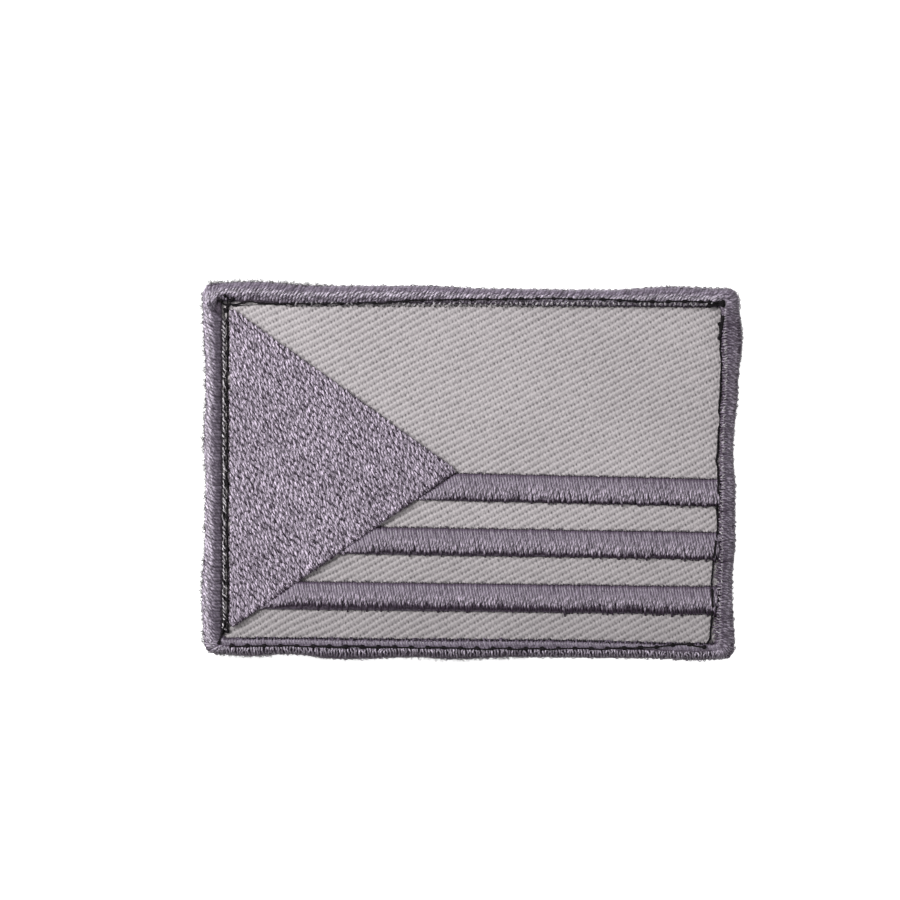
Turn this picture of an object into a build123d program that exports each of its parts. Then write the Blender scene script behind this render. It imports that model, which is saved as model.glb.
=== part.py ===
from build123d import *
from collections import namedtuple
from math import tan, radians
import os

# An embroidered flag patch, lying face up on its hook tape. All sizes are millimetres.
# X runs along the patch, Y to the flag's top edge, Z out of its face.
# The origin is the middle of the surface that the patch lies on.

# Overall size. The outline is cut by hand, so its sides wander inside their box.
patch_length = 80.0
patch_width = 56.0
rim_wander = 1.5
corner_radius = 1.7

# Layers, from the hooks up
hook_height = 1.1
tape_thickness = 1.0
twill_thickness = 1.0
layer_gap = 0.05

# Hook tape, set in from the rim, with a bare margin for the seam that sews it on
tape_inset = 0.9
tape_margin = 2.4
hook_bevel = 0.3

# Border: a bead that laps over the twill's cut edge, and a lower shoulder inside it.
# Its width is the least distance from the patch's box to its inner edge, which wanders too.
border_width = 2.5
border_wander = 1.3
field_corner_radius = 0.5
bead_width = 1.5
bead_height = 1.0
bead_round = 0.8
shoulder_height = 0.6
shoulder_bevel = 0.25
lip_width = 0.45
inner_corner_radius = 0.4

# Pieces that stand side by side on the twill keep this clearance.
side_gap = 0.05

# A stretch of outline that steps in by less than this is drawn straight.
straight_enough = 0.001

# Triangle at the hoist, behind a channel that the seam runs in
seam_channel = 1.2
triangle_reach = 33.6
triangle_head_gap = 0.1
triangle_foot_gap = 1.3
triangle_corner_radius = 0.3
fill_height = 0.5
fill_round = 0.2

# Stripes: satin bars with a rounded back, spread evenly over the lower half of the field.
# The first starts a step below the triangle's tip.
stripe_breadth = 4.2
stripe_step = 0.25
stripe_wall = 0.3
stripe_crown = 0.4

# Levels
twill_bottom = hook_height + tape_thickness + layer_gap
twill_top = twill_bottom + twill_thickness
face_level = twill_top + layer_gap

# A wave is a place on one side of a loop. Sides run anticlockwise from the lower left corner.
# along: share of the side's run between its two corners
# inset: share of the wander that the line lies inside its straight place
Wave = namedtuple("Wave", "along inset")

rim_waves = {
    "bottom": [
        Wave(0.00, 0.6),
        Wave(0.07, 0.4),
        Wave(0.14, 0.6),
        Wave(0.25, 0.1),
        Wave(0.40, 0.3),
        Wave(0.46, 0.1),
        Wave(0.60, 0.3),
        Wave(0.85, 0.2),
        Wave(0.95, 0.0),
        Wave(1.00, 0.1),
    ],
    "right": [
        Wave(0.00, 0.8),
        Wave(0.18, 1.0),
        Wave(0.31, 0.7),
        Wave(0.45, 0.7),
        Wave(0.56, 0.9),
        Wave(0.77, 0.4),
        Wave(0.88, 0.0),
        Wave(1.00, 0.3),
    ],
    "top": [
        Wave(0.00, 0.7),
        Wave(0.10, 0.5),
        Wave(0.24, 0.8),
        Wave(0.45, 0.7),
        Wave(0.60, 0.4),
        Wave(0.79, 0.4),
        Wave(0.93, 0.0),
        Wave(1.00, 0.1),
    ],
    "left": [
        Wave(0.00, 0.1),
        Wave(0.28, 0.4),
        Wave(0.43, 0.2),
        Wave(0.53, 0.4),
        Wave(0.70, 0.3),
        Wave(0.86, 0.0),
        Wave(1.00, 0.2),
    ],
}

# The border's inner edge, which comes nearest to the box at the lower right corner
field_waves = {
    "bottom": [Wave(0.00, 0.64), Wave(0.60, 0.42), Wave(1.00, 0.00)],
    "right": [
        Wave(0.00, 0.92),
        Wave(0.25, 0.60),
        Wave(0.50, 0.58),
        Wave(0.66, 0.46),
        Wave(0.78, 0.23),
        Wave(1.00, 0.30),
    ],
    "top": [Wave(0.00, 1.00), Wave(1.00, 0.92)],
    "left": [Wave(0.00, 0.35), Wave(1.00, 0.35)],
}

# fall: degrees that a stripe drops towards the fly end
Stripe = namedtuple("Stripe", "name fall")
stripes = [
    Stripe("stripe_upper", 1.3),
    Stripe("stripe_middle", 0.9),
    Stripe("stripe_lower", 0.7),
]

half_length = patch_length / 2
half_width = patch_width / 2

# The open field's left end, and the triangle's corners inside it
field_top = half_width - border_width - field_waves["top"][-1].inset * border_wander
field_bottom = -half_width + border_width + field_waves["bottom"][0].inset * border_wander
field_left = -half_length + border_width + field_waves["left"][0].inset * border_wander
triangle_base = field_left + seam_channel
triangle_tip = Vector(triangle_base + triangle_reach, 0)
triangle_head = Vector(triangle_base, field_top - triangle_head_gap)
triangle_foot = Vector(triangle_base, field_bottom + triangle_foot_gap)
stripe_pitch = (triangle_tip.Y - field_bottom) / len(stripes)


def wavy_plan(waves, wander, inset, radius):
    """Flat face with four wandering sides, each this far inside the box, and round corners."""
    corners = [
        Vector(-half_length, -half_width),
        Vector(half_length, -half_width),
        Vector(half_length, half_width),
        Vector(-half_length, half_width),
    ]
    sides = list(waves.values())
    with BuildSketch() as plan:
        with BuildLine():
            for turn, rows in enumerate(sides):
                corner = corners[turn]
                span = corners[(turn + 1) % 4] - corner
                ahead = span.normalized()
                inward = ahead.rotate(Axis.Z, 90)
                start = inset + sides[turn - 1][-1].inset * wander + radius
                stop = inset + sides[(turn + 1) % 4][0].inset * wander + radius
                run = span.length - start - stop
                points = [
                    corner
                    + ahead * (start + row.along * run)
                    + inward * (inset + row.inset * wander)
                    for row in rows
                ]
                # Two arcs a stretch, which leave and arrive along the side, so none bulges past a row
                for here, there in zip(points, points[1:]):
                    if abs((there - here).dot(inward)) < straight_enough:
                        Line(here, there)
                    else:
                        middle = (here + there) / 2
                        bend = TangentArc(here, middle, tangent=ahead)
                        TangentArc(middle, there, tangent=bend % 1)
                JernArc(points[-1], ahead, radius, 90)
        make_face()
    return plan.sketch


def rim_plan(inset):
    """The patch's outline, this far inside its rim."""
    radius = max(corner_radius - inset, inner_corner_radius)
    return wavy_plan(rim_waves, rim_wander, inset, radius)


def field_plan(gap):
    """The open field inside the border, this far clear of it."""
    return wavy_plan(field_waves, border_wander, border_width + gap, field_corner_radius)


def triangle_plan():
    """The triangle, with corners as round as its thread makes them."""
    with BuildSketch() as plan:
        with BuildLine():
            Polyline(triangle_head, triangle_foot, triangle_tip, close=True)
        make_face()
        fillet(plan.vertices(), radius=triangle_corner_radius)
    return plan.sketch


def stripe_ground_plan():
    """The part of the field that lies outside the triangle's lower edge."""
    with BuildSketch() as plan:
        with BuildLine():
            Polyline(
                triangle_tip,
                triangle_foot,
                (triangle_foot.X, -half_width),
                (half_length, -half_width),
                (half_length, half_width),
                close=True,
            )
        make_face()
        offset(amount=-side_gap, kind=Kind.INTERSECTION)
        add(field_plan(side_gap), mode=Mode.INTERSECT)
    return plan.sketch


def stripe_plane(place, fall):
    """Upright plane across a stripe, at its upper left corner on the triangle's lower edge."""
    drop = stripe_step + place * stripe_pitch
    slope = (triangle_tip.X - triangle_foot.X) / (triangle_tip.Y - triangle_foot.Y)
    corner = Vector(triangle_tip.X - drop * slope, triangle_tip.Y - drop, face_level)
    along = Vector(1, -tan(radians(fall)), 0).normalized()
    return Plane(origin=corner, x_dir=Vector(0, 0, 1).cross(along), z_dir=along)


# Hook tape: the woven base and, on its underside, the field of hooks as one block
with BuildPart() as hook_backing:
    with BuildSketch(Plane.XY.offset(hook_height)):
        add(rim_plan(tape_inset))
    extrude(amount=tape_thickness)
    with BuildSketch(Plane.XY):
        add(rim_plan(tape_inset + tape_margin))
    extrude(amount=hook_height)
    chamfer(hook_backing.edges().group_by(Axis.Z)[0], length=hook_bevel)

# Twill ground, cut a lip's width inside the rim
with BuildPart() as twill_ground:
    with BuildSketch(Plane.XY.offset(twill_bottom)):
        add(rim_plan(lip_width + side_gap))
    extrude(amount=twill_thickness)

# Border: lip over the cut edge, shoulder towards the field, bead along the rim
with BuildPart() as border:
    with BuildSketch(Plane.XY.offset(twill_bottom)):
        add(rim_plan(0))
        add(rim_plan(lip_width), mode=Mode.SUBTRACT)
    extrude(amount=twill_thickness + layer_gap)
    with BuildSketch(Plane.XY.offset(face_level)):
        add(rim_plan(0))
        add(field_plan(0), mode=Mode.SUBTRACT)
    extrude(amount=shoulder_height)
    chamfer(
        border.faces().sort_by(Axis.Z)[-1].inner_wires()[0].edges(),
        length=shoulder_bevel,
    )
    with BuildSketch(Plane.XY.offset(face_level)):
        add(rim_plan(0))
        add(rim_plan(bead_width), mode=Mode.SUBTRACT)
    extrude(amount=bead_height)
    fillet(
        border.faces().sort_by(Axis.Z)[-1].outer_wire().edges(),
        radius=bead_round,
    )
    chamfer(
        border.faces().sort_by(Axis.Z)[-1].inner_wires()[0].edges(),
        length=shoulder_bevel,
    )

# Triangle fill
with BuildPart() as triangle_fill:
    with BuildSketch(Plane.XY.offset(face_level)):
        add(triangle_plan())
    extrude(amount=fill_height)
    fillet(triangle_fill.edges().group_by(Axis.Z)[-1], radius=fill_round)

# Stripes, each cut to the triangle's lower edge and to the border's inner edge
bars = {}
for place, stripe in enumerate(stripes):
    with BuildPart() as bar:
        with BuildSketch(stripe_plane(place, stripe.fall)):
            with BuildLine():
                Polyline(
                    (0, stripe_wall),
                    (0, 0),
                    (-stripe_breadth, 0),
                    (-stripe_breadth, stripe_wall),
                )
                ThreePointArc(
                    (-stripe_breadth, stripe_wall),
                    (-stripe_breadth / 2, stripe_wall + stripe_crown),
                    (0, stripe_wall),
                )
            make_face()
        extrude(amount=patch_length, both=True)
        with BuildSketch(Plane.XY.offset(face_level)):
            add(stripe_ground_plan())
        extrude(amount=stripe_wall + stripe_crown, mode=Mode.INTERSECT)
    bar.part.label = stripe.name
    bars[stripe.name] = bar

hook_backing.part.label = "hook_backing"
twill_ground.part.label = "twill_ground"
border.part.label = "border"
triangle_fill.part.label = "triangle_fill"

os.makedirs("parts", exist_ok=True)
export_step(hook_backing.part, "parts/hook_backing.step")
export_step(twill_ground.part, "parts/twill_ground.step")
export_step(border.part, "parts/border.step")
export_step(triangle_fill.part, "parts/triangle_fill.step")
for name, bar in bars.items():
    export_step(bar.part, "parts/" + name + ".step")
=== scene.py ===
from collections import namedtuple
from math import cos, pi, radians, sin, tan

import bpy
import numpy as np
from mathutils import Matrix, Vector
from mathutils.bvhtree import BVHTree


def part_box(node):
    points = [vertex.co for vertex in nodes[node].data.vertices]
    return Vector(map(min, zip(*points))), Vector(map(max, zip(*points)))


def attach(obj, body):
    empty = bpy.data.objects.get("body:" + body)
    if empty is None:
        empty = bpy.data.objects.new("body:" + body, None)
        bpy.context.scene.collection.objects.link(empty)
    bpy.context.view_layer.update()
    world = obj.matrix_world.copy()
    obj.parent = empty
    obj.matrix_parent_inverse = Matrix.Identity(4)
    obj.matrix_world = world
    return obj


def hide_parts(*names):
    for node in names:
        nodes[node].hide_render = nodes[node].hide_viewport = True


# An embroidered flag patch, lying face up on its hook tape.
# Lengths in this file are millimetres, and the meshes are scaled to metres as they are made.
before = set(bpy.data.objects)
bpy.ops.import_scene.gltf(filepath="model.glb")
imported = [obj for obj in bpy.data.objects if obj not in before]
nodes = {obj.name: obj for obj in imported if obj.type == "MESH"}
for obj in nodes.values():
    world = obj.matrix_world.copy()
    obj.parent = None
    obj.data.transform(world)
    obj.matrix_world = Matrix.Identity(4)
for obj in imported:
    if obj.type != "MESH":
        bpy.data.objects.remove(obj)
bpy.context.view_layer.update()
mm = 0.001

# Half the patch's size, the tape's underside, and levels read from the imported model
half_length = 40.0
half_width = 28.0
hook_top = 1.1
twill_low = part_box("twill_ground")[0].z / mm
twill_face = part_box("twill_ground")[1].z / mm
fill_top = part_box("triangle_fill")[1].z / mm
bead_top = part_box("border")[1].z / mm
shoulder_level = twill_face + 0.15
rim_level = twill_low + 0.6
bead_rise = bead_top - twill_face

# Embroidery thread: two plies, which make a full turn in one lay.
# Neighbours lie a pitch apart, and each is so much broader that it laps the next.
thread_pitch = 0.40
thread_lap = 1.34
thread_depth = 0.24
pulled_flat = 0.45
ply_lay = 2.4
ply_lean = 16.0
thread_sides = 6
satin_lean = 10.0
shortest_thread = 0.5
# How much further along its twist one thread can start than another
twist_spread = 97.0

# Triangle fill: leaning rows of stitches, laid like bricks
fill_lean = 123.0
fill_row = 0.35
fill_stitch = 2.15
fill_stagger = 0.62
fill_flat = 0.8

# Twill: its ends stand almost upright side by side, and each floats a step higher than the last
end_spacing = 0.474
end_lean = 5.0
end_step = 0.253
rib_spacing = 1.043
rib_height = 0.08
rib_crest = 0.3
dip_breadth = 0.27

# Seam
seam_stitch = 2.4
seam_knot = 0.46

# Hook tape
hook_breadth = 0.22
hook_reach = 0.42
hook_pitch = 1.45
hook_lean = 0.4


# Node trees


class Bench:
    """Lays out the nodes of one tree, so that a formula reads from left to right."""

    def __init__(self, tree):
        self.tree = tree

    def node(self, kind, **settings):
        made = self.tree.nodes.new(kind)
        for name, value in settings.items():
            setattr(made, name, value)
        return made

    def feed(self, sockets, values):
        """Links or sets each socket, named or numbered, to its value."""
        for name, value in values.items():
            if isinstance(value, bpy.types.NodeSocket):
                self.tree.links.new(value, sockets[name])
            else:
                sockets[name].default_value = value

    def fed(self, kind, *values, **settings):
        """The output of a node with these values in its first inputs."""
        made = self.node(kind, **settings)
        self.feed(made.inputs, dict(enumerate(values)))
        return made.outputs[0]

    def maths(self, operation, first, second=0.0):
        return self.fed("ShaderNodeMath", first, second, operation=operation)

    def times(self, first, *others):
        for other in others:
            first = self.maths("MULTIPLY", first, other)
        return first

    def over(self, first, second):
        return self.maths("DIVIDE", first, second)

    def less(self, first, second):
        return self.maths("SUBTRACT", first, second)

    def size_of(self, value):
        return self.maths("ABSOLUTE", value)

    def weighed(self, *pairs):
        """The sum of each value times its weight."""
        total = 0.0
        for value, weight in pairs:
            total = self.maths("ADD", total, self.times(value, weight))
        return total

    def ease(self, value, low, high, to_low=0.0, to_high=1.0):
        limits = (low, high, to_low, to_high)
        return self.fed("ShaderNodeMapRange", value, *limits, interpolation_type="SMOOTHSTEP")

    def point(self, x, y, z=0.0):
        return self.fed("ShaderNodeCombineXYZ", x, y, z)

    def parts(self, vector):
        made = self.node("ShaderNodeSeparateXYZ")
        self.feed(made.inputs, {0: vector})
        return made.outputs

    def noise(self, vector, scale=1.0, detail=2.0):
        made = self.node("ShaderNodeTexNoise")
        self.feed(made.inputs, {"Vector": vector, "Scale": scale, "Detail": detail})
        return made.outputs[0]

    def blend(self, share, first, second):
        made = self.node("ShaderNodeMix", data_type="RGBA")
        self.feed(made.inputs, {0: share, 6: first, 7: second})
        return made.outputs[2]

    def group(self, tree, **given):
        made = self.node("ShaderNodeGroup", node_tree=tree)
        self.feed(made.inputs, given)
        return made.outputs

    def bump(self, height, distance):
        made = self.node("ShaderNodeBump")
        self.feed(made.inputs, {"Distance": distance * mm, "Height": height})
        return made.outputs[0]


def effect(name, inputs, formula):
    """A shader group with plain number sockets. Its formula turns the inputs into named outputs."""
    tree = bpy.data.node_groups.new(name, "ShaderNodeTree")
    for label, start in inputs.items():
        socket = tree.interface.new_socket(label, in_out="INPUT", socket_type="NodeSocketFloat")
        socket.default_value = start
    bench = Bench(tree)
    results = formula(bench, bench.node("NodeGroupInput").outputs)
    for label in results:
        tree.interface.new_socket(label, in_out="OUTPUT", socket_type="NodeSocketFloat")
    bench.feed(bench.node("NodeGroupOutput").inputs, results)
    return tree


def ply_twist_formula(bench, given):
    """Two plies wound round each other, the thread's own shaded sides, and the fine filaments along it."""
    turns = bench.maths("ADD", given["Around"], bench.over(given["Along"], given["Lay"]))
    wave = bench.maths("SINE", bench.times(turns, 2 * pi))
    aside = bench.maths("COSINE", bench.times(given["Around"], 2 * pi))
    strand = bench.times(given["Strand"], 40.0)
    fine = bench.point(bench.times(turns, 6.5), bench.times(given["Along"], 1.7), strand)
    coarse = bench.point(bench.times(given["Along"], 2.4), strand, 3.0)
    return {
        "Ridge": bench.size_of(wave),
        "Flank": bench.size_of(aside),
        "Filament": bench.noise(fine),
        "Glint": bench.noise(coarse, detail=1.0),
    }


def weave_formula(bench, given):
    """Twill: where the ends dip under, and the ribs that their floats make between the dips."""
    # Hand and washing have moved the yarns a little
    place = bench.point(given["Across"], given["Up"])
    pushed = bench.less(bench.noise(place, scale=0.9, detail=3.0), 0.5)
    tugged = bench.less(bench.noise(place, scale=1.7), 0.5)
    across = bench.weighed((given["Across"], 1.0), (bench.times(tugged, given["Loose"]), 2.0))
    up = bench.weighed((given["Up"], 1.0), (bench.times(pushed, given["Loose"]), 3.0))
    ends = bench.over(across, given["End"])
    nearest = bench.maths("ROUND", ends)
    aside = bench.less(ends, nearest)
    ribs = bench.over(bench.less(up, bench.times(nearest, given["Step"])), given["Rib"])
    nearest_rib = bench.maths("ROUND", ribs)
    upward = bench.times(bench.less(ribs, nearest_rib), given["Rib"], 0.62)
    leaning = bench.weighed((bench.times(aside, given["End"]), 1.0), (upward, 0.3))
    squares = [bench.times(run, run) for run in (leaning, upward)]
    away = bench.maths("SQRT", bench.maths("ADD", *squares))
    dip = bench.ease(away, dip_breadth * 0.78, dip_breadth * 0.12)
    hole = bench.noise(bench.point(nearest, nearest_rib), scale=0.9)
    # A rib's swell peaks a third of the way down from the dips above it, where the twill paints its
    # highlight
    slanted = bench.less(up, bench.times(ends, given["Step"]))
    down = bench.maths("FRACT", bench.over(slanted, bench.times(given["Rib"], -1.0)))
    return {
        "Dip": bench.times(dip, bench.ease(hole, 0.3, 0.7, 0.50, 1.0)),
        "Float": bench.times(bench.ease(down, 0.02, rib_crest), bench.ease(down, 1.05, rib_crest)),
        "Groove": bench.ease(bench.size_of(aside), 0.28, 0.50),
        "End": bench.noise(bench.point(nearest, bench.times(up, 0.8)), scale=0.7),
    }


def slow_tone_formula(bench, given):
    """Cloudy variation over the whole patch, as dye and handling leave it."""
    place = bench.parts(bench.node("ShaderNodeTexCoord").outputs["Object"])

    def spread(size, detail):
        axes = [bench.over(axis, bench.times(size, mm)) for axis in place]
        return bench.noise(bench.point(*axes), detail=detail)

    return {"Tone": spread(given["Cloud"], 3.0), "Fleck": spread(given["Fleck"], 1.0)}


twist_inputs = {"Around": 0.0, "Along": 0.0, "Lay": ply_lay, "Strand": 0.0}
twill_sizes = {"End": end_spacing, "Step": end_step, "Rib": rib_spacing}
weave_inputs = {"Across": 0.0, "Up": 0.0, **twill_sizes, "Loose": 0.09}
ply_twist = effect("ply_twist", twist_inputs, ply_twist_formula)
twill_weave = effect("twill_weave", weave_inputs, weave_formula)
slow_tone = effect("slow_tone", {"Cloud": 9.0, "Fleck": 0.6}, slow_tone_formula)


def finish(name, roughness, specular, sheen=0.0):
    """A material with its bench and its shader's sockets."""
    made = bpy.data.materials.new(name)
    made.use_nodes = True
    bench = Bench(made.node_tree)
    shader = made.node_tree.nodes["Principled BSDF"].inputs
    bench.feed(shader, {"Roughness": roughness, "Specular IOR Level": specular, "Sheen Weight": sheen})
    return made, bench, shader


def thread_finish(name, dark, dull, light, roughness, depth=0.04, shine=0.5, silk=0.6):
    """Twisted thread: painted shade between its plies and at its sides, and a painted highlight where a ply
    stands up.
    Where its slack mark is low its plies lie flat and it is painted dull and smooth. Where its lit mark is
    low it is painted black, as the shade deep between stitches."""
    made, bench, shader = finish(name, roughness, shine)
    around, along, _ = bench.parts(bench.node("ShaderNodeUVMap", uv_map="thread_run").outputs[0])
    marks = [bench.node("ShaderNodeAttribute", attribute_name=mark) for mark in ("tone", "slack", "lit")]
    strand, slack, lit = (mark.outputs["Fac"] for mark in marks)
    ply = bench.group(ply_twist, Around=around, Along=along, Strand=strand)
    cloth = bench.group(slow_tone, Cloud=11.0, Fleck=0.23)
    # Painted highlight on the ply tops, and painted shade at the thread's sides where neighbours meet,
    # darkest where parted is low
    crest_highlight = bench.ease(ply["Ridge"], 0.10, 0.75, 0.12, 1.0)
    parted = bench.ease(ply["Glint"], 0.44, 0.56, 0.0, 0.48)
    gap = bench.ease(ply["Flank"], 0.90, 0.62, parted, 1.0)
    glint = bench.ease(ply["Glint"], 0.40, 0.60, 0.86, 1.0)
    grain = bench.ease(ply["Filament"], 0.43, 0.56, 0.20, 1.0)
    speck = bench.ease(cloth["Fleck"], 0.40, 0.58, 0.70, 1.0)
    own = bench.ease(strand, 0.0, 1.0, 0.86, 1.0)
    cloud = bench.ease(cloth["Tone"], 0.3, 0.7, 0.88, 1.0)
    even = bench.times(grain, speck, cloud)
    ply_highlit_tone = bench.blend(bench.times(crest_highlight, gap, own, glint, even), dark, light)
    calm = bench.weighed((even, 0.45), (speck, 0.50))
    # The flat tone, with a little painted shade at the thread's sides
    smooth = bench.blend(bench.times(calm, bench.ease(ply["Flank"], 1.0, 0.6, 0.80, 1.0)), dark, dull)
    open_tone = bench.blend(slack, smooth, ply_highlit_tone)
    relief = bench.weighed((ply["Ridge"], 0.8), (ply["Filament"], 0.9))
    firm = bench.ease(slack, 0.0, 1.0, 0.35, 1.0)
    # The fibres lie along the plies, so the shine spreads across them
    grained = bench.node("ShaderNodeTangent", direction_type="UV_MAP", uv_map="thread_run")
    # The lit mark blends in shade_between_stitches, painted shade deep between stitches
    bench.feed(shader, {
        "Base Color": bench.blend(lit, shade_between_stitches, open_tone),
        "Normal": bench.bump(bench.times(relief, firm), depth),
        "Roughness": bench.ease(ply["Filament"], 0.3, 0.7, roughness - 0.08, roughness + 0.12),
        "Anisotropic": silk,
        "Anisotropic Rotation": 1 - ply_lean / 360,
        "Tangent": grained.outputs[0],
    })
    return made


def twill_finish():
    """Grey twill, with painted highlights on its ribs, painted shade in its grooves and dips, and painted
    shade that darkens it towards the lowest strip, where the light falls off.
    """
    made, bench, shader = finish("grey_twill", 0.75, 0.3, sheen=0.15)
    across, up, _ = bench.parts(bench.node("ShaderNodeUVMap", uv_map="weave").outputs[0])
    weave = bench.group(twill_weave, Across=across, Up=up)
    cloth = bench.group(slow_tone, Cloud=14.0, Fleck=0.35)
    fibre = bench.noise(bench.point(bench.times(across, 4.5), bench.times(up, 2.6)))
    tone = bench.weighed((cloth["Tone"], 0.2), (fibre, 0.55), (weave["End"], 0.25))
    body = bench.blend(bench.ease(tone, 0.41, 0.59), (0.303, 0.279, 0.287, 1), (0.488, 0.450, 0.463, 1))
    # Painted highlight on each rib, and painted shade in the grooves between ends and in the dips
    rib_highlit = bench.blend(bench.times(weave["Float"], 0.75), body, (0.508, 0.470, 0.482, 1))
    groove_shaded = bench.blend(bench.times(weave["Groove"], 0.35), rib_highlit, (0.20, 0.183, 0.190, 1))
    dip_shaded = bench.blend(weave["Dip"], groove_shaded, (0.130, 0.119, 0.124, 1))
    # Painted shade: the twill darkens towards the lowest strip, where the light falls off
    light_falloff = bench.ease(up, -27.0, 2.0, 0.76, 1.0)
    ribs = bench.weighed((weave["Float"], 0.5), (weave["Dip"], -1.0))
    relief = bench.weighed((ribs, 1.0), (weave["Groove"], -0.4), (fibre, 0.7))
    bench.feed(shader, {
        "Base Color": bench.blend(light_falloff, (0.06, 0.055, 0.057, 1), dip_shaded),
        "Normal": bench.bump(relief, 0.08),
    })
    return made


def tape_finish():
    made, bench, shader = finish("black_tape", 0.6, 0.4, sheen=0.1)
    x, y, _ = bench.parts(bench.node("ShaderNodeTexCoord").outputs["Object"])
    place = {"Across": bench.over(x, mm), "Up": bench.over(y, mm)}
    weave = bench.group(twill_weave, **place, End=0.5, Step=0.25, Rib=0.5)
    cloth = bench.group(slow_tone, Cloud=8.0, Fleck=0.3)
    fleck = bench.ease(cloth["Fleck"], 0.4, 0.7)
    worn = bench.blend(fleck, (0.012, 0.012, 0.013, 1), (0.03, 0.03, 0.032, 1))
    # The dips are painted darker, as shade
    bench.feed(shader, {
        "Base Color": bench.blend(weave["Dip"], worn, (0.004, 0.004, 0.004, 1)),
        "Normal": bench.bump(bench.less(weave["Float"], weave["Dip"]), 0.08),
    })
    return made


def hook_finish():
    made, bench, shader = finish("hook_nylon", 0.35, 0.5)
    cloth = bench.group(slow_tone, Cloud=6.0, Fleck=0.25)
    tone = bench.ease(cloth["Tone"], 0.3, 0.7)
    bench.feed(shader, {
        "Base Color": bench.blend(tone, (0.014, 0.014, 0.015, 1), (0.035, 0.035, 0.038, 1)),
        "Roughness": bench.ease(cloth["Fleck"], 0.3, 0.7, 0.28, 0.45),
        "Normal": bench.bump(cloth["Fleck"], 0.02),
    })
    return made


def core_finish():
    """Thread packed under the satin, seen only down the gaps, and painted near-black as the shade down
    there.
    """
    made, bench, shader = finish("packed_thread_shade", 0.8, 0.2)
    cloth = bench.group(slow_tone, Cloud=3.0, Fleck=0.3)
    tone = bench.ease(cloth["Fleck"], 0.35, 0.65)
    bench.feed(shader, {
        "Base Color": bench.blend(tone, (0.030, 0.022, 0.032, 1), (0.075, 0.058, 0.080, 1)),
        "Normal": bench.bump(cloth["Fleck"], 0.08),
    })
    return made


def floor_finish():
    """White acrylic that glows a little, as a light table does, so that the patch's shadow on it is washed
    out and it comes out evenly white.
    """
    made, bench, shader = finish("white_acrylic", 0.6, 0.2)
    cloth = bench.group(slow_tone, Cloud=60.0, Fleck=8.0)
    tone = bench.ease(cloth["Tone"], 0.3, 0.7)
    bench.feed(shader, {
        "Base Color": bench.blend(tone, (0.90, 0.90, 0.90, 1), (0.93, 0.93, 0.93, 1)),
        "Emission Color": (1, 1, 1, 1),
        "Emission Strength": 0.8,
    })
    return made


# shade_between_stitches is painted shade, for the dark deep between stitches
shade_between_stitches = (0.020, 0.006, 0.023, 1)
# In each thread finish the first colour is painted shade between plies and threads, and the last is the
# painted highlight on its plies; slate_shade is the first for the satin
slate_shade = (0.040, 0.029, 0.044, 1)
slate_dull = (0.160, 0.125, 0.176, 1)
wound_dull = (0.212, 0.175, 0.238, 1)
border_thread = thread_finish("border_thread", slate_shade, wound_dull, (0.71, 0.62, 0.755, 1), 0.46)
satin_thread = thread_finish("satin_thread", slate_shade, slate_dull, (0.625, 0.530, 0.655, 1), 0.42)
hem_thread = thread_finish("hem_thread", (0.12, 0.10, 0.12, 1), slate_dull, (0.86, 0.82, 0.86, 1), 0.42)
fill_thread = thread_finish("fill_thread", (0.05, 0.037, 0.055, 1), slate_dull, (0.80, 0.68, 0.84, 1), 0.52)
# The seam is black, and seam_highlight is the painted highlight on its plies
seam_black = (0.004, 0.003, 0.004, 1)
seam_highlight = (0.014, 0.011, 0.014, 1)
seam_thread = thread_finish("seam_thread", seam_black, seam_black, seam_highlight, 0.8, shine=0.12, silk=0.0)
fibre_grey = (0.17, 0.165, 0.165, 1)
frayed_fibre = thread_finish("frayed_fibre", fibre_grey, fibre_grey, (0.46, 0.45, 0.45, 1), 0.6, depth=0.01)
grey_twill = twill_finish()
black_tape = tape_finish()
hook_nylon = hook_finish()
packed_thread_shade = core_finish()
white_acrylic = floor_finish()


# Finding places on the solids and the finished pieces

# Rays down to the finished pieces start from here, and those along a bar's breadth this far outside it
overhead = 10.0
probe_margin = 1.0


def surface_of(piece):
    """A piece's surface in millimetres, for finding places on it by rays."""
    points = [vertex.co / mm for vertex in piece.data.vertices]
    faces = [tuple(face.vertices) for face in piece.data.polygons]
    return BVHTree.FromPolygons(points, faces)


def solid_and_box(node):
    """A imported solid's surface and its box's two corners, in millimetres."""
    low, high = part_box(node)
    return surface_of(nodes[node]), low / mm, high / mm


def edge_from(surface, start, heading, level):
    """Where a level ray from this plan point first meets the solid, or None."""
    hit = surface.ray_cast(Vector((*start, level)), Vector((*heading, 0)))[0]
    return None if hit is None else np.array(hit[:2])


def top_of(surfaces, x, y):
    """The highest point of the finished pieces under this plan point."""
    above = Vector((x, y, overhead))
    hits = [surface.ray_cast(above, Vector((0, 0, -1)))[0] for surface in surfaces]
    return max([hit.z for hit in hits if hit is not None], default=twill_face)


def clockwise_of(headings):
    """Plan directions a quarter turn clockwise from these."""
    return np.stack([headings[..., 1], -headings[..., 0]], axis=-1)


def sideways(headings):
    """Unit vectors to the right of each plan heading, lying flat."""
    right = clockwise_of(headings)
    right = right / (np.linalg.norm(right, axis=-1, keepdims=True) + 1e-9)
    return np.concatenate([right, np.zeros(right.shape[:-1] + (1,))], axis=-1)


def slanting(lean):
    """The plan direction at this many degrees from the patch's length."""
    return np.array((cos(radians(lean)), sin(radians(lean))))


def between(starts, ends, shares):
    """Plan points [threads, stations, 2] at these shares of the way from each start to its end."""
    return starts[:, None, :] + (ends - starts)[:, None, :] * shares[..., None]


def moved(plan, headings, distances):
    """Plan points moved this far along their own thread's heading."""
    return plan + headings[:, None, :] * distances[:, :, None]


def raised(plan, height):
    return np.concatenate([plan, height[:, :, None]], axis=2)


# Threads

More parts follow.
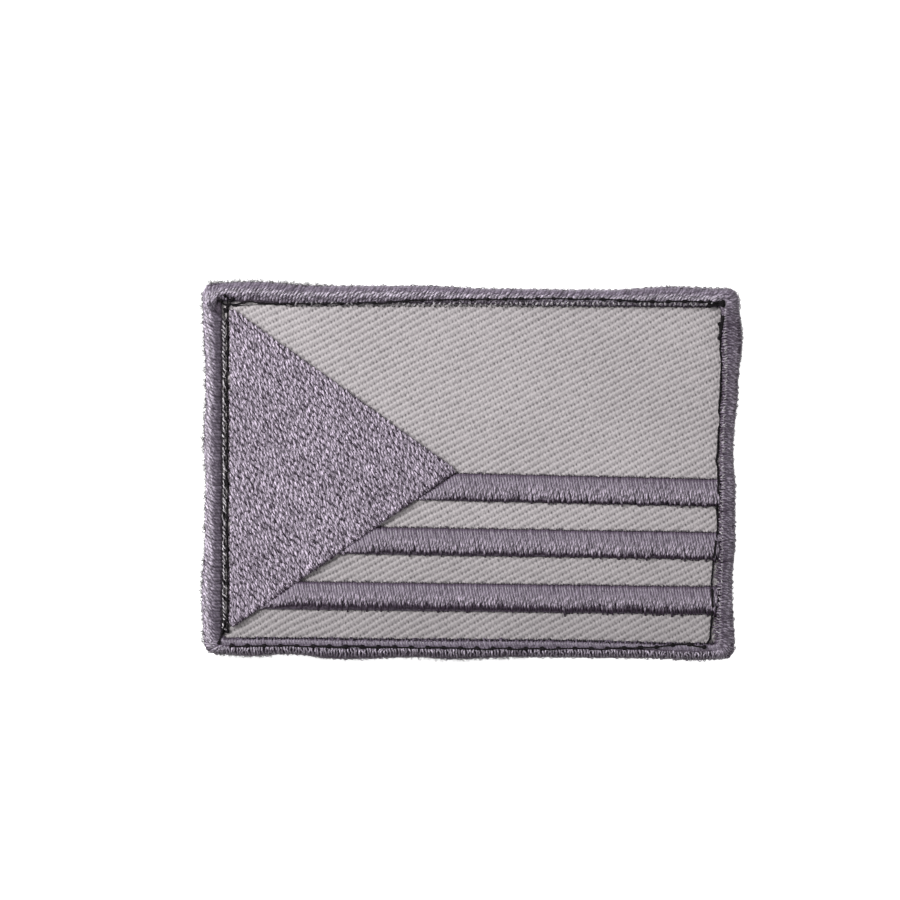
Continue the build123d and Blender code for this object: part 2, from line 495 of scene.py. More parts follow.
# How threads look. tones: one for each thread. slack: 0 where it is pulled flat, 1 where its plies show, and
# it also sets where painted ply highlights and shade show, put where the light catches them
# lit: painted shade, 0 deep in the shadow between stitches, 1 in the open. Both are one number, or one for
# each station.
Look = namedtuple("Look", "tones slack lit", defaults=(1.0, 1.0))


def sheaf(name, centres, flat_side, breadths, depths, look, material, sides=thread_sides):
    """One mesh of many threads. centres is [threads, stations, 3], and flat_side points across each one."""
    count, stations = centres.shape[:2]
    flat_side = np.broadcast_to(flat_side, centres.shape)
    breadths = np.broadcast_to(breadths, (count, stations))
    depths = np.broadcast_to(depths, (count, stations))
    ahead = np.gradient(centres, axis=1)
    ahead /= np.linalg.norm(ahead, axis=2, keepdims=True) + 1e-9
    across = flat_side - ahead * (flat_side * ahead).sum(axis=2, keepdims=True)
    across /= np.linalg.norm(across, axis=2, keepdims=True) + 1e-9
    up = np.cross(across, ahead)
    angles = 2 * pi * (np.arange(sides) + 0.5) / sides
    wide = across[:, :, None, :] * np.cos(angles)[:, None] * breadths[:, :, None, None] / 2
    high = up[:, :, None, :] * np.sin(angles)[:, None] * depths[:, :, None, None] / 2
    rings = centres[:, :, None, :] + wide + high

    index = np.arange(count * stations * sides).reshape(count, stations, sides)
    beside = np.roll(index, -1, axis=2)
    walls = np.stack([index[:, :-1], index[:, 1:], beside[:, 1:], beside[:, :-1]], axis=-1)
    caps = []
    for fan in range(1, sides - 2, 2):
        caps.append(index[:, 0][:, [0, fan, fan + 1, fan + 2]])
        caps.append(index[:, -1][:, [fan + 2, fan + 1, fan, 0]])
    faces = np.concatenate([walls.reshape(-1, 4)] + caps)

    # Each thread starts its twist at its own place
    steps = np.linalg.norm(np.diff(centres, axis=1), axis=2)
    run = np.concatenate([np.zeros((count, 1)), np.cumsum(steps, axis=1)], axis=1)
    run += (look.tones * twist_spread)[:, None]
    run = np.repeat(run[:, :, None], sides, axis=2).reshape(-1)
    around = np.broadcast_to((np.arange(sides) + 0.5) / sides, (count, stations, sides)).reshape(-1)
    corner_around = around[faces]
    # The last side runs on past one, so that the pattern doesn't turn back there
    last = np.zeros(walls.shape[:3], bool)
    last[:, :, -1] = True
    past = np.concatenate([last.reshape(-1), np.zeros(len(faces) - last.size, bool)])
    corner_around[past, 2:] += 1.0
    places = np.stack([corner_around, run[faces]], axis=-1)

    mesh = bpy.data.meshes.new(name)
    points = rings.reshape(-1, 3) * mm
    mesh.vertices.add(len(points))
    mesh.vertices.foreach_set("co", points.astype(np.float32).reshape(-1))
    mesh.loops.add(faces.size)
    mesh.loops.foreach_set("vertex_index", faces.astype(np.int32).reshape(-1))
    mesh.polygons.add(len(faces))
    mesh.polygons.foreach_set("loop_start", np.arange(0, faces.size, 4, dtype=np.int32))
    mesh.polygons.foreach_set("use_smooth", np.ones(len(faces), bool))
    mesh.update(calc_edges=True)
    layer = mesh.uv_layers.new(name="thread_run")
    layer.data.foreach_set("uv", places.astype(np.float32).reshape(-1))
    marks = {"tone": look.tones[:, None], "slack": look.slack, "lit": look.lit}
    for label, values in marks.items():
        each = np.repeat(np.broadcast_to(values, (count, stations)).reshape(-1), sides)
        mesh.attributes.new(label, "FLOAT", "POINT").data.foreach_set("value", each.astype(np.float32))
    mesh.materials.append(material)
    piece = bpy.data.objects.new(name, mesh)
    bpy.context.collection.objects.link(piece)
    return piece


def only(piece):
    """Selects one object and makes it active."""
    bpy.ops.object.select_all(action="DESELECT")
    piece.select_set(True)
    bpy.context.view_layer.objects.active = piece


def joined(name, first, *others):
    """One piece from several, named for the whole."""
    only(first)
    for other in others:
        other.select_set(True)
    bpy.ops.object.join()
    first.name = name
    first.data.name = name
    return first


def dressed(piece, material):
    piece.data.materials.clear()
    piece.data.materials.append(material)


def merged_copy(node, name):
    """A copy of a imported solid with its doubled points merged, left open for editing."""
    piece = nodes[node].copy()
    piece.data = nodes[node].data.copy()
    piece.name = name
    piece.parent = None
    for key in list(piece.keys()):
        del piece[key]
    bpy.context.collection.objects.link(piece)
    only(piece)
    bpy.ops.object.mode_set(mode="EDIT")
    bpy.ops.mesh.select_all(action="SELECT")
    bpy.ops.mesh.remove_doubles(threshold=0.00001)
    return piece


def packed_core(node, name, squeeze, shrink, breadth=1.0, shift=0.0):
    """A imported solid, flattened towards the twill and drawn in under its thread.
    breadth and shift narrow it across and move it up to lie right under thread that does so."""
    core = merged_copy(node, name)
    bpy.ops.mesh.normals_make_consistent(inside=False)
    bpy.ops.transform.shrink_fatten(value=-shrink * mm)
    bpy.ops.mesh.select_all(action="DESELECT")
    bpy.ops.object.mode_set(mode="OBJECT")
    for vertex in core.data.vertices:
        vertex.select = vertex.co.z > twill_face * mm
    bpy.ops.object.mode_set(mode="EDIT")
    bpy.ops.transform.resize(value=(1, 1, squeeze), center_override=(0, 0, twill_face * mm))
    bpy.ops.mesh.select_all(action="SELECT")
    low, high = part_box(node)
    bpy.ops.transform.resize(value=(1, breadth, 1), center_override=(low + high) / 2)
    bpy.ops.transform.translate(value=(0, shift * mm, 0))
    bpy.ops.object.mode_set(mode="OBJECT")
    # The core is painted near-black, as the shade down the gaps
    dressed(core, packed_thread_shade)
    return core


# Needle holes gape or have closed up, and lie a little off their line
hole_spread = (0.5, 1.2)
hole_girths = (0.6, 1.2)
hole_stray = 0.04
hole_lift = 0.02
needle_depth = 0.2
hole_taper = (0.6, 1.0, 0.6)


def needle_hole_shade(name, places, lean, height, length, breadth, seed, material):
    """Dashes painted black as the shade in the needle holes, where the needle went down beside a stitch."""
    chance = np.random.default_rng(seed)
    count = len(places)
    along = slanting(lean)
    reach = (np.array((-0.5, 0.0, 0.5)) * length * chance.uniform(*hole_spread, (count, 1)))[:, :, None]
    plan = places[:, None, :] + chance.normal(0, hole_stray, (count, 1, 2)) + along * reach
    level = height + chance.normal(0, hole_lift, (count, 1)) * np.ones(3)
    girths = breadth * chance.uniform(*hole_girths, (count, 1)) * hole_taper
    look = Look(chance.random(count), 1.0, 0.0)
    return sheaf(name, raised(plan, level), sideways(along), girths, needle_depth, look, material, sides=4)


# A fold is a place on a stitch. share: part of its length
# level: its height, as a share of its own rise. girth: share of its full breadth
# slack and lit: as in its look
Fold = namedtuple("Fold", "share level girth slack lit")

# The same for short stitches, whose look doesn't change along them
# level: how high over its bed, as a share of its girth or of the needle's pull
Pull = namedtuple("Pull", "share level girth")


# Border

# A lap is a place on a thread's way over the border, from under the twill to the field.
# share: part of the border's width in from the rim
# level: height over the twill's face, as a share of the bead's rise
# drift: how far the thread has run clockwise along the border, as a share of its width
# girth: share of the thread's full breadth
# slack and lit: as in its look, where lit is painted shade
Lap = namedtuple("Lap", "share level drift girth slack lit")

border_laps = {
    "left": [
        Lap(0.28, -1.12, 0.06, 1.00, 0.0, 1.0),
        Lap(0.04, -1.12, 0.03, 1.00, 0.0, 1.0),
        Lap(-0.02, -0.40, 0.00, 1.00, 0.5, 1.0),
        Lap(0.01, 0.12, -0.02, 1.00, 1.0, 1.0),
        Lap(0.12, 0.52, -0.09, 1.00, 1.0, 1.0),
        Lap(0.25, 0.80, -0.18, 1.00, 1.0, 1.0),
        Lap(0.40, 0.93, -0.28, 1.00, 1.0, 1.0),
        Lap(0.54, 0.91, -0.35, 1.00, 0.7, 1.0),
        Lap(0.67, 0.74, -0.38, 1.00, 0.3, 1.0),
        Lap(0.80, 0.48, -0.38, 1.00, 0.25, 1.0),
        Lap(0.92, 0.24, -0.37, 1.00, 0.25, 1.0),
        Lap(1.00, -0.05, -0.36, 0.80, 0.0, 0.4),
    ],
    "top": [
        Lap(0.28, -1.12, 0.04, 1.00, 0.0, 1.0),
        Lap(0.04, -1.12, 0.02, 1.00, 0.0, 1.0),
        Lap(-0.02, -0.40, 0.00, 1.00, 0.2, 1.0),
        Lap(0.01, 0.15, -0.01, 1.15, 0.4, 1.0),
        Lap(0.12, 0.60, -0.03, 1.15, 0.1, 0.80),
        Lap(0.26, 0.86, -0.09, 1.10, 0.3, 0.86),
        Lap(0.40, 0.93, -0.18, 1.00, 1.0, 1.0),
        Lap(0.55, 0.90, -0.28, 1.00, 1.0, 1.0),
        Lap(0.67, 0.76, -0.34, 1.00, 1.0, 1.0),
        Lap(0.76, 0.50, -0.37, 0.85, 0.9, 0.95),
        Lap(0.86, 0.38, -0.38, 0.80, 0.8, 0.95),
        Lap(0.97, -0.05, -0.38, 0.60, 0.5, 0.50),
    ],
    "right": [
        Lap(0.28, -1.12, 0.00, 1.00, 0.0, 1.0),
        Lap(0.04, -1.12, 0.00, 1.00, 0.0, 1.0),
        Lap(-0.03, -0.30, 0.00, 0.95, 1.0, 0.42),
        Lap(0.00, 0.16, 0.00, 0.90, 1.0, 0.33),
        Lap(0.12, 0.38, 0.02, 0.98, 1.0, 0.45),
        Lap(0.28, 0.56, 0.05, 1.08, 0.8, 0.72),
        Lap(0.45, 0.72, 0.08, 1.10, 0.7, 0.74),
        Lap(0.62, 0.84, 0.11, 1.05, 0.6, 0.60),
        Lap(0.76, 0.92, 0.13, 0.95, 0.8, 0.46),
        Lap(0.88, 0.80, 0.15, 0.80, 1.0, 0.50),
        Lap(0.98, 0.45, 0.17, 0.65, 1.0, 0.5),
        Lap(1.05, -0.05, 0.18, 0.50, 1.0, 0.3),
    ],
    "bottom": [
        Lap(0.28, -1.12, 0.00, 1.00, 0.0, 1.0),
        Lap(0.04, -1.12, 0.00, 1.00, 0.0, 1.0),
        Lap(-0.03, -0.35, 0.00, 1.00, 0.6, 0.5),
        Lap(0.01, 0.05, 0.00, 0.80, 0.9, 0.15),
        Lap(0.10, 0.36, 0.01, 0.60, 1.0, 0.20),
        Lap(0.20, 0.66, 0.02, 0.54, 1.0, 0.40),
        Lap(0.32, 0.86, 0.03, 0.58, 1.0, 0.95),
        Lap(0.42, 0.74, 0.04, 0.72, 1.0, 0.95),
        Lap(0.51, 0.40, 0.06, 1.00, 0.4, 0.7),
        Lap(0.62, 0.52, 0.10, 1.30, 0.1, 0.75),
        Lap(0.84, 0.52, 0.15, 1.30, 0.1, 0.75),
        Lap(0.99, 0.10, 0.20, 0.85, 0.2, 0.7),
    ],
}
# The sides in clockwise order from the lower left corner, with the corner that each starts from.
# pitch: from one thread to the next along the border. sway: how unevenly the loose threads lie, in mm
Side = namedtuple("Side", "name heading corner pitch sway")
sides_clockwise = [
    Side("left", (-1, 0), (-1, -1), 0.49, 0.025),
    Side("top", (0, 1), (-1, 1), 0.47, 0.025),
    Side("right", (1, 0), (1, 1), 0.40, 0.035),
    Side("bottom", (0, -1), (1, -1), 0.41, 0.085),
]
# The field's corners are found from these distances out from the patch's middle. The threads round
# a corner point to a place a little inside it.
corner_probe = (34.0, 21.5)
fan_inset = 0.55
fan_threads = 13
# A thread that heads this squarely is one of a side's own, and not of the fan round its corner
squarely = 0.99
# How unevenly the border's threads lie. drift: along it. lap: over it, as a share of its width
# needle: where they go down, as a share too. lift: in height, from place to place and each as a whole
# breadth: as a share of their own. lit: how light each one looks
border_drift = 0.025
border_lap = 0.012
border_needle = (-0.06, 0.05)
border_lift = 0.02
border_whole_lift = 0.01
border_breadth = 0.05
border_lit = (0.74, 1.12)
border_sunk = 0.02
# Threads are lifted unevenly only above this share of the bead's or the bar's rise
lifted_from = 0.3

# Below this level the right side's threads end up to this far inside the field
stray_top = -10.0
stray_reach = 0.75

# Where something pulls at the right side, its threads part a little, and painted shade darkens the crease
crease_levels = (21.9, -5.7, -13.1, -21.4)
crease_part = 0.04
crease_reach = 0.6
crease_breadth = 0.45
crease_shade = 0.55

# Along the top the thread ends short of the solid's edge. across: share of half the length. gap: in mm
Short = namedtuple("Short", "across gap")
top_shorts = [
    Short(-0.88, 0.82),
    Short(-0.74, 0.74),
    Short(-0.68, 0.36),
    Short(-0.27, 0.54),
    Short(0.10, 0.40),
    Short(0.29, 0.22),
    Short(0.85, 0.00),
]

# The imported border's inner edge along the top lies between these levels, and this near the middle
top_edge = (21.0, 24.7)
field_side = 37.3

border_solid = surface_of(nodes["border"])


def top_gap(x):
    """How far short of the solid's edge the top's thread ends there."""
    across, gaps = np.array(top_shorts).T
    return np.interp(np.asarray(x) / half_length, across, gaps)


def fan_centre(across, up):
    """Plan point just inside the field's corner on that side, which the corner's threads point to."""
    side = edge_from(border_solid, (0, up * corner_probe[1]), (across, 0), shoulder_level)
    end = edge_from(border_solid, (across * corner_probe[0], 0), (0, up), shoulder_level)
    return np.array((side[0] - across * fan_inset, end[1] - up * fan_inset))


def side_run(side):
    """The two ends of a side's run, between the fans at its corners."""
    following = sides_clockwise[(sides_clockwise.index(side) + 1) % 4]
    return fan_centre(*side.corner), fan_centre(*following.corner)


def border_aims(coarse=1.0):
    """Where each border thread starts from and heads to, with its laps, pitch and sway, clockwise."""
    aims = []
    for turn, side in enumerate(sides_clockwise):
        following = sides_clockwise[(turn + 1) % 4]
        here, there = side_run(side)
        pitch = side.pitch * coarse
        own, after = np.array(border_laps[side.name]), np.array(border_laps[following.name])
        count = int(np.linalg.norm(there - here) / pitch)
        for step in range(count):
            start = here + (there - here) * (step + 0.5) / count
            aims.append((start, side.heading, own, pitch, side.sway))
        fan = int(fan_threads / coarse)
        for step in range(fan):
            share = (step + 0.5) / fan
            angle = share * pi / 2
            heading = np.array(side.heading) * cos(angle) + np.array(following.heading) * sin(angle)
            sway = side.sway * (1 - share) + following.sway * share
            aims.append((there, heading, own * (1 - share) + after * share, pitch, sway))
    return [np.array(column) for column in zip(*aims)]


def border_edges(starts, headings):
    """The border's inner edge and its rim in front of each start."""
    far = 2 * half_length
    inner = [edge_from(border_solid, s, h, shoulder_level) for s, h in zip(starts, headings)]
    rim = [edge_from(border_solid, s + far * h, -h, rim_level) for s, h in zip(starts, headings)]
    inner = np.array(inner)
    top = headings[:, 1] > squarely
    inner[:, 1] += np.where(top, top_gap(inner[:, 0]), 0)
    return inner, np.array(rim)


def border_threads():
    """Satin that wraps over the patch's edge, from under the twill to the field."""
    chance = np.random.default_rng(11)
    starts, headings, laps, pitches, sways = border_aims()
    right = headings[:, 0] > squarely
    count, stations = laps.shape[:2]
    lit = laps[:, :, 5] * chance.uniform(*border_lit, (count, 1))
    for crease in crease_levels:
        off = starts[:, 1] - crease
        parted = np.sign(off) * np.exp(-((off / crease_reach) ** 2)) * crease_part
        starts[:, 1] += np.where(right, parted, 0)
        shade = np.exp(-((off / crease_breadth) ** 2)) * crease_shade
        lit = lit * (1 - np.where(right, shade, 0))[:, None]
    inner, rim = border_edges(starts, headings)
    width = np.linalg.norm(inner - rim, axis=1)
    share = laps[:, :, 0] + chance.normal(0, border_lap, (count, 1))
    # The needle doesn't land in one line
    share[:, -1] += chance.uniform(*border_needle, count)
    # Along the lower half of the right side it has strayed into the field
    strayed = right & (inner[:, 1] < stray_top)
    share[:, -1] += strayed * chance.uniform(0.0, stray_reach, count) / width
    level = laps[:, :, 1]
    loose = laps[:, :, 4]
    swayed = chance.normal(0, 1, (count, stations)) * sways[:, None] * loose
    drift = laps[:, :, 2] * width[:, None] + chance.normal(0, border_drift, (count, 1)) + swayed
    plan = moved(between(rim, inner, share), clockwise_of(headings), drift)
    lift = chance.normal(0, border_lift, (count, stations)) * (level > lifted_from) * loose
    lift = lift + chance.normal(0, border_whole_lift, (count, 1))
    centres = raised(plan, twill_face + level * bead_rise + lift - border_sunk)
    across = sideways(headings)[:, None, :]
    # A slanted thread has less room beside its neighbour
    ahead = np.gradient(centres, axis=1)
    ahead /= np.linalg.norm(ahead, axis=2, keepdims=True)
    room = pitches[:, None] * np.sqrt(1 - (ahead * across).sum(axis=2) ** 2)
    uneven = 1 + chance.normal(0, border_breadth, (count, stations))
    breadths = room * thread_lap * laps[:, :, 3] * uneven
    depths = thread_depth * (pulled_flat + (1 - pulled_flat) * loose)
    look = Look(chance.random(count), loose, lit)
    return sheaf("border_threads", centres, across, breadths, depths, look, border_thread)


# Rows of short stitches beside the seam. Sides are numbered clockwise from the left one.
# begin and end: shares of the side's run. out: from the field's edge towards the rim
# lean: degrees from straight inward, clockwise first. zigzag: how much every second one leans the other way
# lift: how high over the finished pieces
Hem = namedtuple("Hem", "side begin end out pitch length lean zigzag girth lift")
light_hems = [
    Hem(0, 0.02, 0.97, -0.10, 0.62, 0.90, -58, 10, 0.27, 0.26),
    Hem(1, 0.14, 0.99, 0.78, 0.38, 0.58, -8, 34, 0.25, 0.08),
    Hem(2, 0.06, 0.55, 0.62, 0.62, 0.62, 20, 20, 0.18, 0.02),
    Hem(2, 0.55, 1.00, 0.42, 0.80, 0.66, -38, 14, 0.18, 0.02),
]
# Black hems: short black stitches, partly black thread and partly painted shade in the needle holes by the
# border's edge
black_hems_and_hole_shade = [
    Hem(1, 0.12, 1.00, 0.26, 0.38, 0.30, 0, 38, 0.12, 0.02),
    Hem(3, 0.00, 0.97, 0.30, 0.43, 0.42, 8, 6, 0.20, 0.08),
]
hem_pulls = [
    Pull(0.0, -0.15, 0.7),
    Pull(0.2, 0.45, 1.0),
    Pull(0.5, 0.60, 1.0),
    Pull(0.8, 0.45, 1.0),
    Pull(1.0, -0.15, 0.7),
]
# How unevenly hem stitches lie: in place, as a share of their pitch, in start, lean, length and girth
hem_place = 0.14
hem_start = 0.05
hem_turn = 8
hem_lengths = (0.7, 1.1)
hem_girths = (0.7, 1.15)
hem_flat = 0.7


def hem_threads(name, hems, surfaces, material):
    """Short stitches that lie on the border and in the channel beside the triangle."""
    chance = np.random.default_rng(21)
    rows = []
    share, level, breadth = np.array(hem_pulls).T
    for hem in hems:
        side = sides_clockwise[hem.side]
        here, there = side_run(side)
        heading = np.array(side.heading, float)
        run = np.linalg.norm(there - here)
        for place, mark in enumerate(np.arange(hem.begin * run, hem.end * run, hem.pitch)):
            mark += chance.normal(0, hem_place) * hem.pitch
            edge = edge_from(border_solid, here + (there - here) * mark / run, heading, shoulder_level)
            lean = radians(hem.lean + hem.zigzag * (-1) ** place + chance.normal(0, hem_turn))
            ahead = -heading * cos(lean) + clockwise_of(heading) * sin(lean)
            reach = ahead * hem.length * chance.uniform(*hem_lengths)
            start = edge + heading * (hem.out + chance.normal(0, hem_start))
            rows.append((start, start + reach, hem.girth * chance.uniform(*hem_girths), hem.lift))
    starts, ends, girths, lifts = (np.array(column) for column in zip(*rows))
    plan = between(starts, ends, share)
    girth = girths[:, None]
    beds = np.array([[top_of(surfaces, x, y) for x, y in row] for row in plan])
    height = np.median(beds, axis=1, keepdims=True) + lifts[:, None] + girth * level
    across = sideways(ends - starts)[:, None, :]
    look = Look(chance.uniform(0.5, 1.0, len(plan)))
    centres = raised(plan, height)
    return sheaf(name, centres, across, girth * breadth, girth * hem_flat, look, material, sides=4)


# Little loops that the border's thread leaves proud of the rim, and how much each of them differs
loop_spacing = 1.6
loop_length = 0.65
loop_bulge = 0.24
loop_breadth = 0.15
loop_stations = 5
loop_bulges = (0.2, 1.3)
loop_lengths = (0.5, 1.2)
loop_breadths = (0.7, 1.1)
loop_levels = (-0.45, 0.25)
loop_place = 0.25
loop_tilt = 0.35


def rim_loops():
    chance = np.random.default_rng(31)
    starts, headings, _, _, _ = border_aims(coarse=loop_spacing)
    _, rim = border_edges(starts, headings)
    count = len(starts)
    along = np.linspace(0, 1, loop_stations)
    bulge = np.sin(along * pi) * loop_bulge * chance.uniform(*loop_bulges, (count, 1))
    run = (along - 0.5) * loop_length * chance.uniform(*loop_lengths, (count, 1))
    run = run + chance.normal(0, loop_place, (count, 1))
    plan = moved(moved(rim[:, None, :], headings, bulge), clockwise_of(headings), run)
    tilt = (along - 0.5) * chance.normal(0, loop_tilt, (count, 1))
    centres = raised(plan, twill_face + chance.uniform(*loop_levels, (count, 1)) + tilt)
    breadths = loop_breadth * chance.uniform(*loop_breadths, (count, 1))
    look = Look(chance.uniform(0.2, 1.0, count))
    return sheaf("rim_loops", centres, (0, 0, 1.0), breadths, breadths, look, border_thread, sides=4)


def border_piece(twill_surface):
    core = packed_core("border", "border_core", squeeze=0.60, shrink=0.06)
    for vertex in core.data.vertices:
        x, y = vertex.co.x / mm, vertex.co.y / mm
        if top_edge[0] < y < top_edge[1] and abs(x) < field_side:
            vertex.co.y += top_gap(x) * mm
    threads = border_threads()
    light = hem_threads("light_hems", light_hems, [twill_surface, surface_of(threads)], hem_thread)
    piece = joined("border_satin", threads, light, rim_loops(), core)
    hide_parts("border")
    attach(piece, "root")
    return piece


# Stretches of the rim where fibres have worked loose.
# begin and end: shares of the side's run. count: fibres. reach: the longest one
Fray = namedtuple("Fray", "side begin end count reach")
frays = [
    Fray(0, -0.05, 1.06, 800, 1.00),
    Fray(1, -0.04, 0.22, 360, 1.05),
    Fray(1, 0.22, 0.55, 190, 0.60),
    Fray(1, 0.55, 0.86, 110, 0.45),
    Fray(1, 0.86, 1.04, 150, 0.60),
    Fray(2, 0.02, 0.35, 70, 0.40),
    Fray(3, 0.03, 0.38, 40, 0.34),
    Fray(3, 0.38, 0.62, 190, 0.75),
    Fray(3, 0.62, 0.90, 130, 0.52),
    Fray(3, 0.90, 1.02, 130, 0.65),
]
fibre_breadth = 0.11
fibre_stations = 4
fibre_lengths = (0.35, 1.0)
fibre_breadths = (0.6, 1.2)
fibre_levels = (-0.8, 0.35)
fibre_taper = (1.0, 0.5)
fibre_turn = 1.1
fibre_curl = 0.6
fibre_droop = 0.12
fibre_root = 0.02


def loose_fibres():
    """Fine fibres worn out of the border and the cut edge under it."""
    chance = np.random.default_rng(41)
    rows = []
    for fray in frays:
        side = sides_clockwise[fray.side]
        here, there = side_run(side)
        for share in chance.uniform(fray.begin, fray.end, fray.count):
            rows.append((here + (there - here) * share, side.heading, fray.reach))
    roots, headings, reaches = (np.array(column, float) for column in zip(*rows))
    _, rim = border_edges(roots, headings)
    count = len(rim)
    along = np.linspace(0, 1, fibre_stations)
    length = (reaches * chance.uniform(*fibre_lengths, count))[:, None]
    angle = chance.uniform(-fibre_turn, fibre_turn, count)[:, None]
    angle = angle + chance.normal(0, fibre_curl, (count, 1)) * along
    out = np.cos(angle) * along * length - fibre_root
    aside = np.sin(angle) * along * length
    plan = moved(moved(rim[:, None, :], headings, out), clockwise_of(headings), aside)
    height = twill_face + chance.uniform(*fibre_levels, (count, 1))
    height = height + chance.normal(0, fibre_droop, (count, 1)) * along
    across = sideways(plan[:, -1] - plan[:, 0])[:, None, :]
    taper = np.interp(along, (0, 1), fibre_taper)
    breadths = fibre_breadth * chance.uniform(*fibre_breadths, (count, 1)) * taper
    look = Look(chance.random(count))
    centres = raised(plan, height)
    piece = sheaf("loose_fibres", centres, across, breadths, breadths, look, frayed_fibre, sides=4)
    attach(piece, "root")
    return piece


# Bars

# hoist_foot and fly_foot: how far the lower edge's needle line lies inside the solid at its two ends
# head: how far the upper one lies outside it. shade: how far the foot, painted dark as shade, reaches up,
# against the folds'
Bar = namedtuple("Bar", "node seed hoist_foot fly_foot head shade")
bars_table = [
    Bar("stripe_upper", 1, 0.05, 0.00, -0.12, 0.8),
    Bar("stripe_middle", 2, 0.40, 0.22, 0.13, 1.1),
    Bar("stripe_lower", 3, 0.52, 0.20, 0.26, 1.6),
]
# From the lower edge to the upper one
bar_folds = [
    Fold(0.00, -0.10, 0.50, 0.5, 0.03),
    Fold(0.05, 0.28, 0.62, 0.8, 0.05),
    Fold(0.11, 0.56, 0.72, 1.0, 0.15),
    Fold(0.17, 0.72, 0.84, 1.0, 1.00),
    Fold(0.32, 0.86, 0.94, 1.0, 1.00),
    Fold(0.48, 0.90, 1.00, 0.8, 1.00),
    Fold(0.62, 0.88, 1.12, 0.4, 1.00),
    Fold(0.78, 0.78, 1.20, 0.1, 1.00),
    Fold(0.91, 0.56, 1.15, 0.0, 0.97),
    Fold(0.97, 0.34, 0.80, 0.0, 0.75),
    Fold(1.00, -0.05, 0.35, 0.0, 0.20),
]
bar_breadth = 4.2
shaded_foot = 0.2
foot_scatter = 0.025
lower_ends = (0.05, 0.10)
upper_ends = (0.04, 0.03)
# How unevenly the loose half of its threads lies: in an S along them, beside their line, in height
# and in a share of their breadth
bar_bow = 0.04
bar_sway = 0.03
bar_lift = 0.03
bar_spread = 0.08
# A short thread by the bar's slanted end stands lower
end_rise = 0.45
full_rise_length = 5
# The needle holes along a bar's upper edge, drawn as dashes of painted shade
head_hole_out = 0.05
head_hole_length = 0.42
head_hole_breadth = 0.20
head_hole_level = 0.12


def bar_threads(bar):
    """Satin across one bar, loose by its lower edge and taut by the upper, with painted highlights where it
    is loose and painted shade along its foot.
    """
    chance = np.random.default_rng(bar.seed)
    solid, low, high = solid_and_box(bar.node)
    ahead = slanting(90 + satin_lean)
    reach = (high.y - low.y) + 2 * probe_margin
    lower, upper = [], []
    for x in np.arange(low.x, high.x + reach * tan(radians(satin_lean)), thread_pitch):
        start = np.array((x, low.y - probe_margin))
        foot = edge_from(solid, start, ahead, shoulder_level)
        head = edge_from(solid, start + ahead * reach, -ahead, shoulder_level)
        if foot is not None and head is not None and np.linalg.norm(head - foot) > shortest_thread:
            lower.append(foot)
            upper.append(head)
    lower, upper = np.array(lower), np.array(upper)
    folds = np.array(bar_folds)
    count, stations = len(lower), len(folds)
    fly = (lower[:, 0] - low.x) / (high.x - low.x)
    lower[:, 1] += np.interp(fly, (0, 1), (bar.hoist_foot, bar.fly_foot))
    lower += chance.normal(0, 1, (count, 2)) * lower_ends
    upper[:, 1] += bar.head
    upper += chance.normal(0, 1, (count, 2)) * upper_ends
    foot = folds[:, 0] < shaded_foot
    shares = folds[:, 0] * np.where(foot, bar.shade, 1) + chance.normal(0, foot_scatter, (count, 1)) * foot
    plan = between(lower, upper, shares)
    loose = folds[:, 3]
    plan[:, :, 0] += chance.normal(0, bar_sway, (count, stations)) * loose
    plan[:, :, 0] += chance.normal(0, bar_bow, (count, 1)) * np.sin(folds[:, 0] * pi * 2) * loose
    lift = chance.normal(0, bar_lift, (count, stations)) * (folds[:, 1] > lifted_from) * loose
    length = np.linalg.norm(upper - lower, axis=1)
    rise = (high.z - twill_face) * np.minimum(1, end_rise + length / full_rise_length)[:, None]
    centres = raised(plan, twill_face + folds[:, 1] * rise + lift)
    uneven = 1 + chance.normal(0, bar_spread, (count, stations))
    breadths = thread_pitch * thread_lap * folds[:, 2] * uneven
    depths = thread_depth * (pulled_flat + (1 - pulled_flat) * loose)
    look = Look(chance.random(count), loose, folds[:, 4])
    threads = sheaf(bar.node + "_threads", centres, (1.0, 0, 0), breadths, depths, look, satin_thread)

    gaps = (upper[:-1] + upper[1:]) / 2 + ahead * head_hole_out
    level = twill_face + head_hole_level
    size = (head_hole_length, head_hole_breadth)
    holes = needle_hole_shade(bar.node + "_holes", gaps, 90 + satin_lean, level, *size, bar.seed, satin_thread)
    return joined(bar.node + "_threads", threads, holes)


def bar_piece(bar):
    foot = (bar.hoist_foot + bar.fly_foot) / 2
    fit = {"breadth": 1 - (foot - bar.head) / bar_breadth, "shift": (foot + bar.head) / 2}
    core = packed_core(bar.node, bar.node + "_core", squeeze=0.62, shrink=0.04, **fit)
    piece = joined(bar.node + "_satin", bar_threads(bar), core)
    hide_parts(bar.node)
    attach(piece, "root")
    return piece


# Triangle

fill_folds = [
    Fold(-0.03, 0.64, 0.66, 0.9, 0.75),
    Fold(0.07, 0.82, 0.90, 1.0, 1.00),
    Fold(0.16, 0.86, 1.00, 1.0, 1.00),
    Fold(0.50, 0.92, 1.04, 1.0, 1.00),
    Fold(0.84, 0.86, 1.00, 1.0, 1.00),
    Fold(0.93, 0.82, 0.90, 1.0, 1.00),
    Fold(1.03, 0.64, 0.66, 0.9, 0.75),
]
# How unevenly its stitches lie: at their ends, beside their line, in height, in a share of their breadth
# and in their length
fill_ends = 0.05
fill_sway = 0.03
fill_lift = 0.012
fill_spread = 0.07
fill_marks = 0.20
foot_hole_in = 0.24
